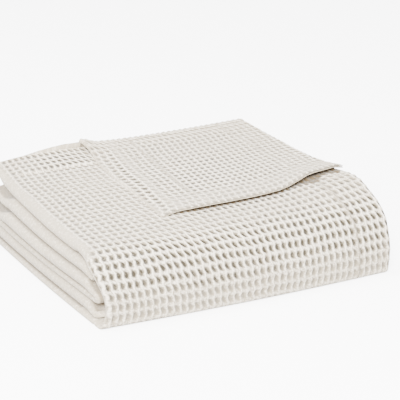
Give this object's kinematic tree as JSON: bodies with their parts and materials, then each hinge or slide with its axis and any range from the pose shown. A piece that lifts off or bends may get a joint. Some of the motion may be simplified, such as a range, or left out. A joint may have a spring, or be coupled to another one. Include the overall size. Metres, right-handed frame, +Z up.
{
  "type": "folded blanket",
  "caption": "Folded cotton blanket in a waffle weave, stacked in soft layers with a rounded front fold and a narrower hemmed flap on top, lying flat.",
  "frame": {"origin": "centre of the footprint, on the flat underside", "axes": "+X along the rounded front fold towards the open hemmed side, +Y from the front fold to the back, +Z up"},
  "size_m": [0.411, 0.3914, 0.1223],
  "materials": {
    "blanket": "matt waffle weave"
  },
  "bodies": {
    "root": {"blanket": "blanket"}
  },
  "joints": []
}
